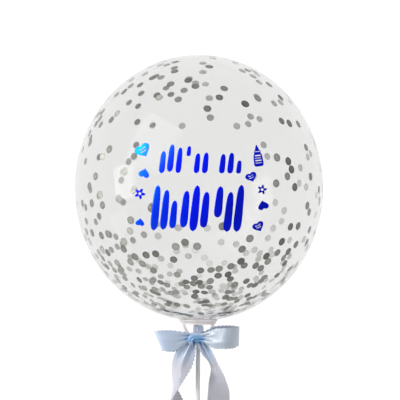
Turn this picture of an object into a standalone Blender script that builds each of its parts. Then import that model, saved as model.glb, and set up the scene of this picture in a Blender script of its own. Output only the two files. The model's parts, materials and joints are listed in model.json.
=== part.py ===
"""Confetti balloon on a stick, lying on a flat surface.

Metres, +Z up. The origin is the middle of the balloon's flat spot, on the surface. The stick runs towards -Y
and comes down to the surface at its far end. The pieces are modelled upright, round the balloon's centre, with
the crown towards +Z and the front towards -Y, and an empty lays them down. Depths below are measured from the
balloon's centre towards the stick's far end.
"""

import math

import bmesh
import bpy
import numpy as np
from mathutils import Matrix, Vector

# The balloon: an egg of clear film, a little taller than wide, with a gathered neck.
BALLOON_WIDTH = 0.300
BALLOON_HEIGHT = 0.321
FLAT_SPOT_RADIUS = 0.025
NECK_RADIUS = 0.0042
NECK_SHOULDER = 0.006
BALLOON_SIDES = 64
BALLOON_ROWS = 26

# The cup: a flared rim that the balloon sits in, three arms and a hub.
RIM_BODY_RADIUS = 0.0217
RIM_LIP = 0.0018
RIM_WALL = 0.0014
RIM_BODY_DEPTH = 0.0046
ARM_COUNT = 3
ARM_WIDTH = 0.0065
ARM_THICKNESS = 0.0020
HUB_WALL = 0.0013
HUB_LENGTH = 0.0120
HUB_BELOW_POLE = 0.0165
HUB_RECESS_DEPTH = 0.0025
HUB_WEB = 0.0015
CUP_SIDES = 48

# The stick: a plastic tube pushed into the hub.
STICK_DIAMETER = 0.0055
STICK_WALL = 0.00085
STICK_LENGTH = 0.400
STICK_CHAMFER = 0.0003
STICK_SIDES = 24

# The ribbon: one length of satin, wrapped round the neck and tied in a bow before the hub.
RIBBON_WIDTH = 0.025
RIBBON_THICKNESS = 0.0010
WRAP_THICKNESS = 0.0012
WRAP_ABOVE_HUB = 0.0020
KNOT_WIDTH = 0.0190
KNOT_HEIGHT = 0.0125
KNOT_DEPTH = 0.0095
KNOT_SIDE_SHIFT = -0.0020
KNOT_BEFORE_ARMS = 0.00385
KNOT_BELOW_POLE = 0.0185
LEFT_LOOP_LENGTH = 0.0470
RIGHT_LOOP_LENGTH = 0.0490
LEFT_LOOP_DROOP = 0.0045
RIGHT_LOOP_RISE = 0.0005
LEFT_LOOP_FRONT_BULGE = 0.0115
RIGHT_LOOP_FRONT_BULGE = 0.0230
LOOP_BACK_BULGE = 0.0065
LOOP_OPENING_SHARES = (0.12, 0.74)
GATHERED_WIDTH = 0.0085
TAIL_REACH = 0.200
TAIL_NOTCH = 0.011
TAIL_STATIONS = 34

# The tails' courses. Each row: share of the reach, place across in ribbon widths, share of the knot's height,
# share of the ribbon's width that is spread out, and the twist in degrees.
LEFT_TAIL = (
    (0.00, -0.24, 1.000, 0.34, 0),
    (0.05, -0.44, 0.975, 0.62, -4),
    (0.12, -0.66, 0.920, 0.92, -18),
    (0.20, -0.96, 0.820, 1.00, -42),
    (0.28, -1.20, 0.670, 1.00, -74),
    (0.33, -1.20, 0.545, 1.00, -110),
    (0.38, -1.13, 0.420, 1.00, -143),
    (0.50, -1.10, 0.150, 1.00, -172),
    (0.62, -1.18, 0.015, 1.00, -180),
    (0.72, -1.26, 0.000, 1.00, -180),
    (1.00, -1.44, 0.000, 1.00, -180),
)
RIGHT_TAIL = (
    (0.00, 0.04, 1.000, 0.34, 0),
    (0.05, 0.28, 0.980, 0.44, -20),
    (0.12, 0.65, 0.930, 0.82, -50),
    (0.19, 0.93, 0.840, 1.00, -52),
    (0.28, 1.02, 0.660, 1.00, -24),
    (0.38, 1.00, 0.420, 1.00, -8),
    (0.50, 1.05, 0.160, 1.00, 0),
    (0.62, 1.16, 0.015, 1.00, 0),
    (0.72, 1.24, 0.000, 1.00, 0),
    (1.00, 1.32, 0.000, 1.00, 0),
)

FIT_GAP = 0.0003


def clear_scene():
    for found in list(bpy.data.objects):
        bpy.data.objects.remove(found, do_unlink=True)


def finish(name, colour, roughness, alpha=1.0):
    """A plain Principled finish. Alpha under 1 is for the clear pieces."""
    material = bpy.data.materials.new(name)
    material.use_nodes = True
    shader = material.node_tree.nodes["Principled BSDF"]
    shader.inputs["Base Color"].default_value = (*colour, 1.0)
    shader.inputs["Roughness"].default_value = roughness
    shader.inputs["Metallic"].default_value = 0.0
    shader.inputs["Alpha"].default_value = alpha
    return material


def add_object(name, mesh, material=None, parent=None):
    made = bpy.data.objects.new(name, mesh)
    bpy.context.scene.collection.objects.link(made)
    if material:
        mesh.materials.append(material)
    made.parent = parent
    return made


def mesh_of(name, bm, smooth_angle=math.radians(35)):
    """Closes the bmesh's work: normals outwards, round faces shaded smooth."""
    bmesh.ops.remove_doubles(bm, verts=bm.verts, dist=1e-6)
    bmesh.ops.recalc_face_normals(bm, faces=bm.faces)
    mesh = bpy.data.meshes.new(name)
    bm.to_mesh(mesh)
    bm.free()
    mesh.shade_smooth()
    mesh.set_sharp_from_angle(angle=smooth_angle)
    return mesh


def turned(profile, sides, closed=False):
    """A bmesh of a profile of (radius, z) spun round Z. A closed profile's last point joins its first."""
    bm = bmesh.new()
    verts = [bm.verts.new((radius, 0.0, z)) for radius, z in profile]
    pairs = list(zip(verts, verts[1:])) + ([(verts[-1], verts[0])] if closed else [])
    edges = [bm.edges.new(pair) for pair in pairs]
    bmesh.ops.spin(
        bm,
        geom=verts + edges,
        cent=(0, 0, 0),
        axis=(0, 0, 1),
        angle=math.tau,
        steps=sides,
        use_merge=True,
    )
    return bm


def swept(path, sides_at):
    """A bmesh of a rod: at each point of the path, the four corners that sides_at gives, bridged and capped."""
    bm = bmesh.new()
    rings = [[bm.verts.new(corner) for corner in sides_at(i)] for i in range(len(path))]
    for ring, following in zip(rings, rings[1:]):
        for k in range(4):
            bm.faces.new((ring[k], ring[(k + 1) % 4], following[(k + 1) % 4], following[k]))
    bm.faces.new(rings[0])
    bm.faces.new(rings[-1])
    return bm


def bezier(a, b, c, steps):
    """Points along a quadratic curve from a to c, pulled towards b."""
    a, b, c = Vector(a), Vector(b), Vector(c)
    shares = [k / steps for k in range(steps + 1)]
    return [a * (1 - t) ** 2 + b * 2 * t * (1 - t) + c * t * t for t in shares]


def join(base, *others):
    """Adds each other shape to the base with a Boolean union, and keeps it as a hidden guide."""
    for other in others:
        union = base.modifiers.new(f"join_{other.name}", "BOOLEAN")
        union.operation = "UNION"
        union.object = other
        other.hide_render = True
        other.display_type = "WIRE"


# Sizes that follow from those above.
BALLOON_RADIUS = BALLOON_WIDTH / 2
POLE_DEPTH = BALLOON_HEIGHT / 2
STICK_RADIUS = STICK_DIAMETER / 2
SOCKET_RADIUS = STICK_RADIUS + FIT_GAP
RECESS_RADIUS = NECK_RADIUS + FIT_GAP
HUB_RADIUS = max(SOCKET_RADIUS, RECESS_RADIUS) + HUB_WALL
HUB_TOP_DEPTH = POLE_DEPTH + HUB_BELOW_POLE
HUB_END_DEPTH = HUB_TOP_DEPTH + HUB_LENGTH
RECESS_END_DEPTH = HUB_TOP_DEPTH + HUB_RECESS_DEPTH
NECK_END_DEPTH = RECESS_END_DEPTH - FIT_GAP
SOCKET_DEPTH = RECESS_END_DEPTH + HUB_WEB
STICK_TOP_DEPTH = SOCKET_DEPTH + FIT_GAP
STICK_END_DEPTH = STICK_TOP_DEPTH + STICK_LENGTH

# The two front arms leave the rim this far round from straight ahead.
FRONT_ARM_TURN = math.pi / ARM_COUNT
ARM_FRONT = (
    RIM_BODY_RADIUS * math.cos(FRONT_ARM_TURN)
    + ARM_WIDTH / 2 * math.sin(FRONT_ARM_TURN)
    + ARM_THICKNESS / 2 * math.cos(FRONT_ARM_TURN)
)
KNOT_CENTRE = Vector((KNOT_SIDE_SHIFT, -ARM_FRONT - KNOT_BEFORE_ARMS, -POLE_DEPTH - KNOT_BELOW_POLE))


def balloon_depth_at(radius, gap=0.0):
    """The depth of the balloon's lower surface at this distance from its axis, plus a gap below it."""
    return POLE_DEPTH * math.sqrt(1 - (radius / BALLOON_RADIUS) ** 2) + gap


def reach_down(tilt):
    """How far the tilted balloon reaches below its centre before its flat spot."""
    return math.hypot(BALLOON_RADIUS * math.cos(tilt), POLE_DEPTH * math.sin(tilt))


def flat_share():
    """The share of that reach which the flat spot keeps."""
    return math.sqrt(1 - (FLAT_SPOT_RADIUS / BALLOON_RADIUS) ** 2)


def lying_tilt():
    """The angle of the stick to the surface, with the flat spot and the stick's far end both on it."""
    tilt = 0.0
    for _ in range(40):
        centre_height = reach_down(tilt) * flat_share()
        end_drop = STICK_RADIUS * math.cos(tilt)
        tilt = math.asin((centre_height - end_drop) / (STICK_END_DEPTH - STICK_CHAMFER))
    return tilt


def laid_down():
    """The matrix that lays the upright balloon down on its flat spot, which ends up at the origin."""
    tilt = lying_tilt()
    reach = reach_down(tilt)
    centre_height = reach * flat_share()
    spot_shift = (POLE_DEPTH**2 - BALLOON_RADIUS**2) * math.sin(tilt) * math.cos(tilt) / reach
    turn = Matrix.Rotation(tilt - math.pi / 2, 4, "X")
    return Matrix.Translation((0, spot_shift * flat_share(), centre_height)) @ turn


def balloon_mesh(lay):
    """The film's outer form: ellipse, shoulder and neck turned round the axis, cut flat by the surface."""
    shoulder_radius = NECK_RADIUS + NECK_SHOULDER
    last = math.pi - math.asin(shoulder_radius / BALLOON_RADIUS)
    angles = [last * k / BALLOON_ROWS for k in range(BALLOON_ROWS + 1)]
    profile = [(BALLOON_RADIUS * math.sin(t), POLE_DEPTH * math.cos(t)) for t in angles]
    shoulder_depth = balloon_depth_at(shoulder_radius)
    neck_start = shoulder_depth + NECK_SHOULDER
    curve = bezier(
        (shoulder_radius, -shoulder_depth, 0),
        (NECK_RADIUS, -shoulder_depth, 0),
        (NECK_RADIUS, -neck_start, 0),
        4,
    )
    profile += [(point.x, point.y) for point in curve[1:]]
    profile += [(NECK_RADIUS, -NECK_END_DEPTH), (0.0, -NECK_END_DEPTH)]
    bm = turned(profile, BALLOON_SIDES)
    bmesh.ops.remove_doubles(bm, verts=bm.verts, dist=1e-6)
    up = lay.to_3x3().transposed() @ Vector((0, 0, 1))
    bmesh.ops.bisect_plane(
        bm,
        geom=bm.verts[:] + bm.edges[:] + bm.faces[:],
        dist=1e-7,
        plane_co=lay.inverted() @ Vector((0, 0, 0)),
        plane_no=up,
        clear_inner=True,
    )
    middle = bm.verts.new(lay.inverted() @ Vector((0, 0, 0)))
    for edge in [edge for edge in bm.edges if edge.is_boundary]:
        bm.faces.new((*edge.verts, middle))
    return mesh_of("balloon", bm)


def rim_mesh():
    """The rim: a lip that follows the balloon's surface, and a short round wall below it."""
    inner = RIM_BODY_RADIUS - RIM_WALL
    seat_inner = balloon_depth_at(inner, FIT_GAP)
    lip_radius = RIM_BODY_RADIUS + RIM_LIP
    seat_outer = balloon_depth_at(lip_radius, FIT_GAP)
    profile = [
        (inner, -seat_inner),
        (lip_radius, -seat_outer),
        (lip_radius, -seat_outer - RIM_WALL * 0.8),
        (RIM_BODY_RADIUS, -seat_inner - RIM_WALL * 1.4),
        (RIM_BODY_RADIUS, -seat_inner - RIM_BODY_DEPTH),
        (inner, -seat_inner - RIM_BODY_DEPTH),
    ]
    return mesh_of("rim", turned(profile, CUP_SIDES, closed=True))


def arm_mesh(turn):
    """One arm: a flat rod that curves from the rim's wall in to the hub, turned round the axis."""
    middle = RIM_BODY_RADIUS - RIM_WALL / 2
    start_depth = balloon_depth_at(middle) + RIM_BODY_DEPTH * 0.5
    hub_joint_depth = HUB_TOP_DEPTH + HUB_LENGTH * 0.45
    path = bezier(
        (middle, 0, -start_depth),
        (middle * 0.90, 0, -(start_depth * 0.35 + hub_joint_depth * 0.65)),
        (HUB_RADIUS * 0.88, 0, -hub_joint_depth),
        7,
    )

    def corners(i):
        before, after = path[max(i - 1, 0)], path[min(i + 1, len(path) - 1)]
        along = (after - before).normalized()
        out = Vector((-along.z, 0, along.x)) * ARM_THICKNESS / 2
        side = Vector((0, ARM_WIDTH / 2, 0))
        signs = ((1, 1), (1, -1), (-1, -1), (-1, 1))
        return [path[i] + out * a + side * b for a, b in signs]

    bm = swept(path, corners)
    bmesh.ops.rotate(bm, verts=bm.verts, cent=(0, 0, 0), matrix=Matrix.Rotation(turn, 3, "Z"))
    return mesh_of("arm", bm)


def hub_mesh():
    """The hub: a short post with a recess for the neck on top and a socket for the stick below."""
    profile = [
        (0.0, -RECESS_END_DEPTH),
        (RECESS_RADIUS, -RECESS_END_DEPTH),
        (RECESS_RADIUS, -HUB_TOP_DEPTH),
        (HUB_RADIUS, -HUB_TOP_DEPTH),
        (HUB_RADIUS, -HUB_END_DEPTH),
        (SOCKET_RADIUS, -HUB_END_DEPTH),
        (SOCKET_RADIUS, -SOCKET_DEPTH),
        (0.0, -SOCKET_DEPTH),
    ]
    return mesh_of("hub", turned(profile, STICK_SIDES))


def make_cup(parent):
    clear_plastic = finish("clear_moulded_plastic", (0.93, 0.93, 0.94), 0.15, alpha=0.45)
    cup = add_object("balloon_cup", rim_mesh(), clear_plastic, parent)
    first_arm = math.pi / 2
    turns = [first_arm + math.tau * k / ARM_COUNT for k in range(ARM_COUNT)]
    arms = [add_object(f"guide_arm_{k}", arm_mesh(turn), None, parent) for k, turn in enumerate(turns)]
    hub = add_object("guide_hub", hub_mesh(), None, parent)
    join(cup, hub, *arms)


def make_stick(parent):
    """The tube, with a small chamfer on its outer edges."""
    inner = STICK_RADIUS - STICK_WALL
    profile = [
        (inner, -STICK_TOP_DEPTH),
        (STICK_RADIUS - STICK_CHAMFER, -STICK_TOP_DEPTH),
        (STICK_RADIUS, -STICK_TOP_DEPTH - STICK_CHAMFER),
        (STICK_RADIUS, -STICK_END_DEPTH + STICK_CHAMFER),
        (STICK_RADIUS - STICK_CHAMFER, -STICK_END_DEPTH),
        (inner, -STICK_END_DEPTH),
    ]
    mesh = mesh_of("stick", turned(profile, STICK_SIDES, closed=True))
    add_object("stick", mesh, finish("white_stick_plastic", (0.62, 0.62, 0.61), 0.4), parent)


def smooth_step(share):
    share = np.clip(share, 0.0, 1.0)
    return share * share * (3 - 2 * share)


def through(rows, count):
    """count rows spaced evenly along a smooth curve through the given rows. The first three columns are a place."""
    rows = np.array(rows, float)
    chord = np.linalg.norm(np.diff(rows[:, :3], axis=0), axis=1)
    at = np.concatenate([[0.0], np.cumsum(chord)])
    slopes = np.gradient(rows, at, axis=0)
    asked = np.linspace(0.0, at[-1], count)
    k = np.clip(np.searchsorted(at, asked, side="right") - 1, 0, len(at) - 2)
    step = (at[k + 1] - at[k])[:, None]
    t = (asked - at[k])[:, None] / step
    start, end = rows[k], rows[k + 1]
    return (
        start * (1 + 2 * t) * (1 - t) ** 2
        + slopes[k] * step * t * (1 - t) ** 2
        + end * t * t * (3 - 2 * t)
        + slopes[k + 1] * step * t * t * (t - 1)
    )


def strip_object(name, grid, thickness, parent=None):
    """A closed strip: the grid's middle surface, given its thickness half to each side.

    Its bent squares are split into triangles, so that a union can't split them in another way.
    """
    bm = bmesh.new()
    verts = [[bm.verts.new(point) for point in row] for row in grid]
    for row, following in zip(verts, verts[1:]):
        for k in range(len(row) - 1):
            bm.faces.new((row[k], row[k + 1], following[k + 1], following[k]))
    strip = add_object(name, mesh_of(name, bm), None, parent)
    solid = strip.modifiers.new("thickness", "SOLIDIFY")
    solid.thickness = thickness
    solid.offset = 0.0
    strip.modifiers.new("triangles", "TRIANGULATE")
    return strip


def loop_grid(side, length, droop, slant, front_bulge):
    """A bow's loop, out from the knot before the hub and back behind itself.

    It runs out as sin^2 of half the turn, bulges as sin times sin of half the turn, and its width opens from
    the gathers at the knot. droop is the fall of its middle line, slant how far its upper edge leans out, and
    front_bulge how far its front half swells.
    """
    turns = np.linspace(0.0, math.tau, 33)
    half = np.sin(turns / 2)
    share = half**2
    bulge = np.where(turns < math.pi, front_bulge, LOOP_BACK_BULGE)
    apart = RIBBON_THICKNESS * 1.5 * np.cos(turns / 2)
    back = -bulge * np.sin(turns) * half - apart
    opening, open_wide = LOOP_OPENING_SHARES
    opened = smooth_step((share - opening) / (open_wide - opening))
    half_width = (GATHERED_WIDTH + (RIBBON_WIDTH - GATHERED_WIDTH) * opened) / 2
    fallen = droop * smooth_step(share / 0.75)
    grid = []
    for out, y, fall, w, lean in zip(length * share, back, fallen, half_width, slant * opened):
        centre = KNOT_CENTRE + Vector((side * out, y, -fall))
        edge = Vector((side * lean, 0, 1)).normalized() * w
        grid.append([centre + edge, centre, centre - edge])
    return grid


def tail_grid(lay, route):
    """A tail's middle surface in the row's frame, from the knot down to the surface that it lies on.

    The route's rows are those of LEFT_TAIL. The tail's width turns about its run by the twist, and a notch is
    cut in its end.
    """
    knot = lay @ KNOT_CENTRE
    lowest = RIBBON_THICKNESS / 2 + FIT_GAP
    rows = [
        (
            RIBBON_WIDTH * across,
            knot.y - run * TAIL_REACH,
            lowest + high * (knot.z - lowest),
            RIBBON_WIDTH * spread,
            math.radians(twist),
        )
        for run, across, high, spread, twist in route
    ]
    stations = through(rows, TAIL_STATIONS)
    stations[:, 2] = np.maximum(stations[:, 2], lowest)
    places = stations[:, :3]
    along = np.gradient(places, axis=0)
    along /= np.linalg.norm(along, axis=1)[:, None]
    across = np.array([1.0, 0.0, 0.0]) - along[:, :1] * along
    across /= np.linalg.norm(across, axis=1)[:, None]
    up = np.cross(across, along)
    twist = stations[:, 4:5]
    edge = (across * np.cos(twist) + up * np.sin(twist)) * stations[:, 3:4] / 2
    middle = places.copy()
    middle[-1] -= along[-1] * TAIL_NOTCH
    middle[-2] -= along[-2] * TAIL_NOTCH * 0.4
    return [[Vector(a), Vector(b), Vector(c)] for a, b, c in zip(places - edge, middle, places + edge)]


def make_ribbon(lay, parent):
    """The bow as one piece: wrap, front strip, knot, two loops and two tails."""
    satin = finish("light_blue_satin", (0.42, 0.52, 0.66), 0.35)
    wrap_top = POLE_DEPTH + NECK_SHOULDER
    wrap_end = HUB_TOP_DEPTH - WRAP_ABOVE_HUB
    wrap_inner = NECK_RADIUS + FIT_GAP
    wrap_outer = wrap_inner + WRAP_THICKNESS
    wrap_profile = [
        (wrap_inner, -wrap_top),
        (wrap_outer, -wrap_top),
        (wrap_outer, -wrap_end),
        (wrap_inner, -wrap_end),
    ]
    wrap = add_object("guide_wrap", mesh_of("wrap", turned(wrap_profile, STICK_SIDES, closed=True)), None, parent)

    strip_start = Vector((0, -wrap_inner - WRAP_THICKNESS * 0.6, -(wrap_top * 0.7 + wrap_end * 0.3)))
    strip_bend = Vector((0, -wrap_outer - WRAP_THICKNESS, -wrap_end - WRAP_THICKNESS))
    half = Vector((GATHERED_WIDTH / 2, 0, 0))
    strip_path = bezier(strip_start, strip_bend, KNOT_CENTRE, 6)
    front_grid = [[p - half, p, p + half] for p in strip_path]
    front = strip_object("guide_front_strip", front_grid, WRAP_THICKNESS * 1.5, parent)

    bm = bmesh.new()
    bmesh.ops.create_uvsphere(bm, u_segments=16, v_segments=10, radius=0.5)
    bmesh.ops.scale(bm, vec=(KNOT_WIDTH, KNOT_DEPTH, KNOT_HEIGHT), verts=bm.verts)
    bmesh.ops.translate(bm, vec=KNOT_CENTRE, verts=bm.verts)
    knot = add_object("ribbon_bow", mesh_of("knot", bm), satin, parent)

    left_loop = loop_grid(-1, LEFT_LOOP_LENGTH, LEFT_LOOP_DROOP, 0.42, LEFT_LOOP_FRONT_BULGE)
    right_loop = loop_grid(1, RIGHT_LOOP_LENGTH, -RIGHT_LOOP_RISE, 0.04, RIGHT_LOOP_FRONT_BULGE)
    loops = [
        strip_object("guide_left_loop", left_loop, RIBBON_THICKNESS, parent),
        strip_object("guide_right_loop", right_loop, RIBBON_THICKNESS, parent),
    ]

    tails = [
        strip_object("guide_left_tail", tail_grid(lay, LEFT_TAIL), RIBBON_THICKNESS),
        strip_object("guide_right_tail", tail_grid(lay, RIGHT_TAIL), RIBBON_THICKNESS),
    ]
    join(knot, front, wrap, *loops, *tails)


def main():
    clear_scene()
    lay = laid_down()
    axis = bpy.data.objects.new("balloon_axis", None)
    bpy.context.scene.collection.objects.link(axis)
    axis.matrix_world = lay
    clear_film = finish("clear_film", (0.90, 0.90, 0.90), 0.08, alpha=0.3)
    add_object("balloon", balloon_mesh(lay), clear_film, axis)
    make_cup(axis)
    make_stick(axis)
    make_ribbon(lay, axis)


main()
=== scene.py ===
"""Looks of the confetti balloon on a stick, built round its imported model.

Metres, +Z up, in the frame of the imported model. The shapes are worked out upright, round the balloon's
centre, with the crown towards +Z and the front towards -Y, and laid() lays them down with the balloon.
"""

import json
import math

import bmesh
import bpy
import numpy as np
from bpy.props import FloatProperty, FloatVectorProperty, IntProperty, PointerProperty
from mathutils import Matrix


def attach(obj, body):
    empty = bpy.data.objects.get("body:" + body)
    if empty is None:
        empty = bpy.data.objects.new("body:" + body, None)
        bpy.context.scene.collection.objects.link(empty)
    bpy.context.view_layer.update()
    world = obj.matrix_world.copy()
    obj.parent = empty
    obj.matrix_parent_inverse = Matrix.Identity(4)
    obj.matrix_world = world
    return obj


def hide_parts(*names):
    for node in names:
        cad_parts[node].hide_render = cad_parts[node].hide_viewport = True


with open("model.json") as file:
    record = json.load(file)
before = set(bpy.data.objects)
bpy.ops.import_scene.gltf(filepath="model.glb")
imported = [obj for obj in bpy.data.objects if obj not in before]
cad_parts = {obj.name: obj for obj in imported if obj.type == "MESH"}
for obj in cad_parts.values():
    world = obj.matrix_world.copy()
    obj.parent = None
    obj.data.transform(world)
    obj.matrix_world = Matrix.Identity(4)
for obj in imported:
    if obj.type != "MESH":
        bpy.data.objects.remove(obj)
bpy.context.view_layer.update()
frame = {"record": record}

bl_info = {
    "name": "Confetti Balloon",
    "version": (1, 0, 0),
    "blender": (4, 5, 0),
    "location": "View3D > Sidebar > Balloon",
    "description": "Makes a clear balloon with confetti, foil stickers, a cup, a stick and a satin bow",
    "category": "Add Mesh",
}

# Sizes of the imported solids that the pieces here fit. Depths go down the axis from the balloon's centre.
STICK_END_DEPTH = 0.5813
STICK_TOP_DEPTH = 0.1813
NECK_RADIUS = 0.0042
NECK_SHOULDER = 0.006
NECK_END_DEPTH = 0.1792
NECK_FOLDS = 14
NECK_FOLD_DEPTH = 0.16
HUB_TOP_DEPTH = 0.1770
HUB_END_DEPTH = 0.1890
HUB_RADIUS = 0.0058
RECESS_RADIUS = 0.0045
RECESS_END_DEPTH = 0.1795
SOCKET_RADIUS = 0.00305
SOCKET_DEPTH = 0.1810
RIM_BODY_RADIUS = 0.0217
RIM_LIP = 0.0018
RIM_WALL = 0.0014
RIM_BODY_DEPTH = 0.0046
ARM_COUNT = 3
ARM_WIDTH = 0.0065
ARM_THICKNESS = 0.0020
KNOT_CENTRE = np.array([-0.0008, -0.0180, -0.1790])
KNOT_RADII = np.array([0.0088, 0.0042, 0.0058])
FIT_GAP = 0.0003
WELD_DISTANCE = 1e-7

# The ribbon's loops: length, fall of the middle line, how far the upper edge leans out, the share of the
# length where the front bends back, how far the front comes forward, how much higher the back half lies than
# the front, how crisp its gathers are, and its lengthwise fold's place across and slope. The opening says
# from which to which share of the length it widens from the gathers. The fullness says its width near the
# knot and at its tip as shares of the ribbon's, and by how many half widths the tip is lifted.
LEFT_LOOP = (0.0470, 0.0045, 0.42, 0.89, 0.0085, -0.0012, 0.60, 0.15, 0.20)
RIGHT_LOOP = (0.0500, -0.0012, 0.02, 0.64, 0.0180, 0.0006, 0.70, -0.38, 0.55)
LEFT_LOOP_OPENING = (0.12, 0.74)
RIGHT_LOOP_OPENING = (0.05, 0.50)
LEFT_LOOP_FULLNESS = (1.0, 0.90, 0.0)
RIGHT_LOOP_FULLNESS = (0.90, 0.80, 0.07)

# Both loops: how far the back half bulges and the share of the length where it bends, how straight the front
# runs up to the ridge, how far apart the halves are at the knot, where the tip starts, and the pleats across.
LOOP_BACK_BULGE = 0.0056
LOOP_BACK_BEND = 0.66
LOOP_STRAIGHT = 0.75
LOOP_LAYERS_APART = 0.0015
LOOP_FAR_END = 0.85
LOOP_PLEATS = 2.5

# All of the ribbon: its width where it is gathered, one scallop's length, and the grid's places across.
GATHERED_WIDTH = 0.0085
SCALLOP_LENGTH = 0.0045
RIBBON_COLUMNS = 41

# The tails: how far they reach, how deep their ends are notched, the pleats across and how crisp they are.
TAIL_REACH = 0.200
TAIL_NOTCH = 0.011
TAIL_PLEATS = 2
TAIL_CRISP = 0.8

# The confetti. Heights of the discs' directions go from -1 at the neck to 1 at the crown. Down from the
# crowded height, over the crowded span, the discs come to lie on each other: they tilt by more degrees, are
# smaller by a further share, and pile up off the film.
DISC_CORNERS = 12
DISC_THICKNESS = 0.0001
DISC_GAP = 0.0003
DISC_TRIES = 40000
MOST_CROWDED = 9.5
LOWEST_DISC = -0.994
CROWDED_FROM = -0.42
CROWDED_SPAN = 0.40
DISC_TILT, CROWDED_TILT = 1.2, 13
DISC_SMALLER, CROWDED_SMALLER = 0.10, 0.13
DISC_PILE = 0.0035

# The tails' courses. Each row: share of the reach, place across in ribbon widths, share of the knot's height,
# share of the ribbon's width that is spread out, the twist in degrees, the place across of its lengthwise
# fold from -1 to 1, and how steep the fold is.
LEFT_TAIL = (
    (0.00, -0.24, 1.000, 0.34, 0, -0.50, 0.0),
    (0.05, -0.44, 0.975, 0.62, -4, -0.45, 0.45),
    (0.12, -0.66, 0.920, 0.92, -18, 0.05, 0.60),
    (0.20, -0.96, 0.820, 1.00, -42, 0.60, 0.50),
    (0.28, -1.20, 0.670, 1.00, -74, 0.80, 0.30),
    (0.33, -1.20, 0.545, 1.00, -110, 0.60, 0.15),
    (0.38, -1.13, 0.420, 1.00, -143, 0.30, 0.08),
    (0.50, -1.10, 0.150, 1.00, -172, 0.00, 0.04),
    (0.62, -1.18, 0.015, 1.00, -180, 0.00, 0.00),
    (0.72, -1.26, 0.000, 1.00, -180, 0.00, 0.00),
    (1.00, -1.44, 0.000, 1.00, -180, 0.00, 0.00),
)
RIGHT_TAIL = (
    (0.00, 0.04, 1.000, 0.34, 0, 0.30, 0.0),
    (0.05, 0.28, 0.980, 0.44, -20, 0.30, 0.10),
    (0.12, 0.65, 0.930, 0.82, -50, 0.30, 0.15),
    (0.19, 0.93, 0.840, 1.00, -52, 0.10, 0.15),
    (0.28, 1.02, 0.660, 1.00, -24, -0.20, 0.20),
    (0.38, 1.00, 0.420, 1.00, -8, -0.20, 0.20),
    (0.50, 1.05, 0.160, 1.00, 0, 0.00, 0.10),
    (0.62, 1.16, 0.015, 1.00, 0, 0.00, 0.00),
    (0.72, 1.24, 0.000, 1.00, 0, 0.00, 0.00),
    (1.00, 1.32, 0.000, 1.00, 0, 0.00, 0.00),
)

# The knot's band: places from the knot's centre, from behind the right loop, over the top and down the left.
KNOT_BAND = (
    (0.0085, 0.0040, -0.0010),
    (0.0112, 0.0000, 0.0006),
    (0.0088, -0.0042, 0.0018),
    (0.0020, -0.0058, 0.0022),
    (-0.0050, -0.0060, 0.0017),
    (-0.0082, -0.0056, -0.0012),
    (-0.0086, -0.0044, -0.0050),
    (-0.0080, 0.0000, -0.0076),
    (-0.0066, 0.0036, -0.0050),
)

# Width and depth of the rolled ribbon in the band, in the turn round the neck and in the strip, then the
# turn's height and radius, and where it starts and ends as shares of once round.
BAND_SECTION = (0.0070, 0.0018)
WRAP_SECTION = (0.0086, 0.0007)
STRIP_SECTION = (0.0084, 0.0012)
WRAP_HEIGHT = -0.1707
WRAP_RADIUS = 0.0052
WRAP_TURNS = (-0.30, 1.05)

# The strip from the turn round the neck down to the knot, from the balloon's centre.
NECK_STRIP = (
    (-0.0002, -0.0062, -0.1700),
    (-0.0003, -0.0082, -0.1730),
    (-0.0005, -0.0130, -0.1752),
    (-0.0008, -0.0190, -0.1770),
)

# The satins: how light their colours are, and their roughness. The lighter copy for the turn round the neck
# and the strip is painted light against the shade under the balloon.
SATIN_FACE = (1.0, 0.31)
SATIN_BACK = (0.88, 0.6)
SATIN_PAINTED_LIGHT = (1.15, 0.31)

# Stickers on the balloon's front: place across, place up, size, and turn in degrees.
CUT_HEARTS = (
    (-0.0633, 0.0412, 0.0178, 30),
    (0.0583, 0.0118, 0.0130, 24),
    (0.0670, -0.0437, 0.0134, 27),
)
PLAIN_HEARTS = (
    (-0.0613, 0.0147, 0.0124, 165),
    (-0.0659, -0.0402, 0.0102, 172),
    (0.0724, -0.0204, 0.0126, 196),
)
FLOWERS = (
    (-0.0660, -0.0078, 0.0128, 10),
    (0.0709, -0.0024, 0.0112, 24),
)
BOTTLE = (0.0658, 0.0357, 0.0246, 8)
HEART_STEPS = 33
BOTTLE_GRID = (41, 13)

# Rows of slanting strokes: place across, lowest and highest point, and width.
UPPER_STROKES = (
    (-0.0405, 0.0150, 0.0400, 0.0066),
    (-0.0312, 0.0165, 0.0475, 0.0070),
    (-0.0220, 0.0150, 0.0440, 0.0064),
    (-0.0112, 0.0340, 0.0455, 0.0048),
    (-0.0020, 0.0150, 0.0375, 0.0064),
    (0.0072, 0.0150, 0.0385, 0.0066),
    (0.0262, 0.0150, 0.0370, 0.0066),
    (0.0355, 0.0150, 0.0385, 0.0068),
    (0.0446, 0.0150, 0.0300, 0.0056),
)
LOWER_STROKES = (
    (-0.0478, -0.0490, 0.0020, 0.0088),
    (-0.0375, -0.0480, -0.0030, 0.0084),
    (-0.0280, -0.0465, -0.0150, 0.0078),
    (-0.0152, -0.0455, -0.0040, 0.0088),
    (-0.0040, -0.0495, 0.0020, 0.0094),
    (0.0070, -0.0455, -0.0050, 0.0088),
    (0.0225, -0.0340, 0.0010, 0.0090),
    (0.0335, -0.0500, -0.0050, 0.0090),
    (0.0450, -0.0500, 0.0030, 0.0094),
)

# The lights: place and size. The point that they are turned to is an upright place.
LIGHTS = {
    "window": ((-1.45, -0.05, 0.74), (0.6, 0.6)),
    "low_window": ((-1.25, -0.55, 0.32), (0.35, 0.5)),
    "key": ((-1.10, 0.65, 1.35), (1.2, 1.2)),
}
LIT_POINT = (0.0, 0.0, -0.05)
FLOOR_DROP = 0.0002

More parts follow.
